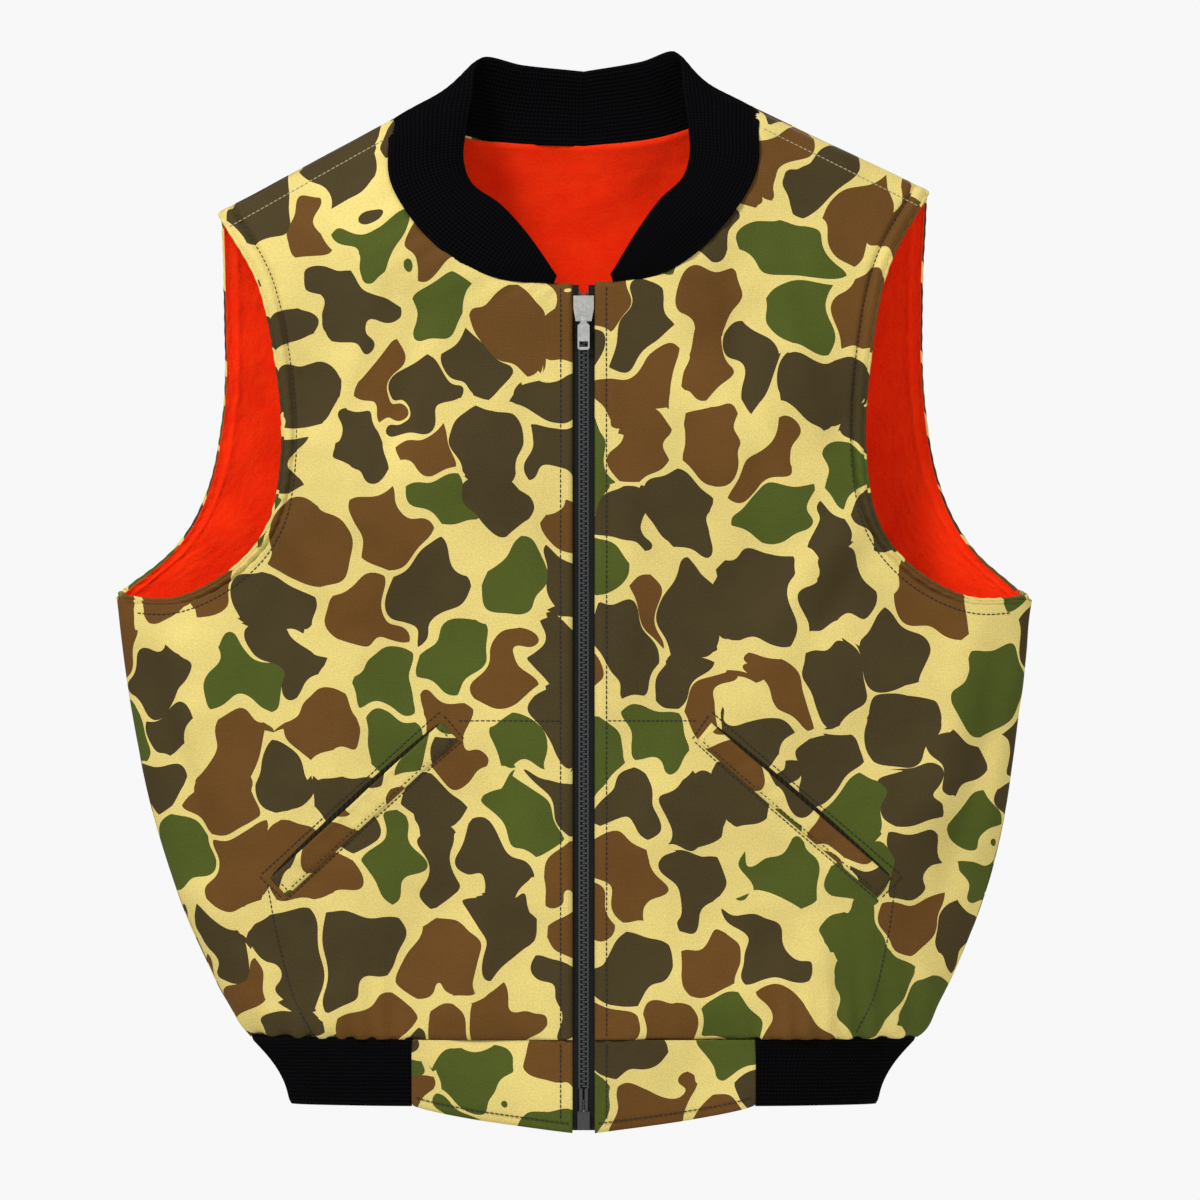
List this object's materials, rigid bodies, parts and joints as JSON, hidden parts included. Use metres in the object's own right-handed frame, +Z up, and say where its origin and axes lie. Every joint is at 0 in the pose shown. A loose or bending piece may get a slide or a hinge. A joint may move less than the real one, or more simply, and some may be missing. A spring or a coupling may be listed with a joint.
{
  "type": "reversible hunting vest",
  "caption": "Sleeveless zip-front vest with knit collar, knit waist rib, slanted welt pockets and fleece lining.",
  "frame": {"origin": "middle of the neck opening, at the height where a hanger bears inside the shoulders", "axes": "+Z up towards the collar, -Y out of the zipped front, +X towards the wearer's left"},
  "size_m": [0.592, 0.0933, 0.7007],
  "materials": {
    "poplin": "matt printed cotton-blend poplin",
    "fleece": "brushed fleece, blaze orange",
    "knit": "black rib knit",
    "pocketing": "plain woven pocketing",
    "tape": "black woven zip tape",
    "acetal": "black moulded acetal",
    "nickel": "nickel-plated zinc"
  },
  "bodies": {
    "back": {"shell_side_left": "poplin", "shell_side_right": "poplin", "shell_back": "poplin", "lining_side_left": "fleece", "lining_side_right": "fleece", "lining_back": "fleece", "collar_back": "knit", "waist_rib_back": "knit"},
    "left_front": {"shell_front_left": "poplin", "lining_front_left": "fleece", "collar_front_left": "knit", "waistband_front_left": "poplin", "waist_rib_front_left": "knit", "pocket_welt_left": "poplin", "pocket_bag_left": "pocketing", "zip_tape_left": "tape", "tooth_row_left": "acetal", "top_stop_left": "acetal", "insertion_pin": "acetal"},
    "right_front": {"shell_front_right": "poplin", "lining_front_right": "fleece", "collar_front_right": "knit", "waistband_front_right": "poplin", "waist_rib_front_right": "knit", "pocket_welt_right": "poplin", "pocket_bag_right": "pocketing", "zip_tape_right": "tape", "tooth_row_right": "acetal", "top_stop_right": "acetal", "retainer_pin": "acetal", "retainer_box": "acetal"},
    "slider": {"slider_body": "nickel", "slider_crown": "nickel"},
    "pull_tab": {"pull_tab": "nickel"}
  },
  "joints": [
    {"name": "left_front_open", "type": "hinge", "parent": "back", "child": "left_front", "pos_m": [0.112, -0.046, 0], "axis": [-0.1938, -0.0217, 0.9808], "range_deg": [0, 100]},
    {"name": "right_front_open", "type": "hinge", "parent": "back", "child": "right_front", "pos_m": [-0.112, -0.046, 0], "axis": [-0.1938, 0.0217, -0.9808], "range_deg": [0, 100]},
    {"name": "zip_travel", "type": "slide", "parent": "right_front", "child": "slider", "axis": [0, 0, -1], "range_m": [0, 0.509]},
    {"name": "pull_tab_swing", "type": "hinge", "parent": "slider", "child": "pull_tab", "pos_m": [0, -0.04865, -0.121], "axis": [-1, 0, 0], "range_deg": [0, 170]}
  ]
}
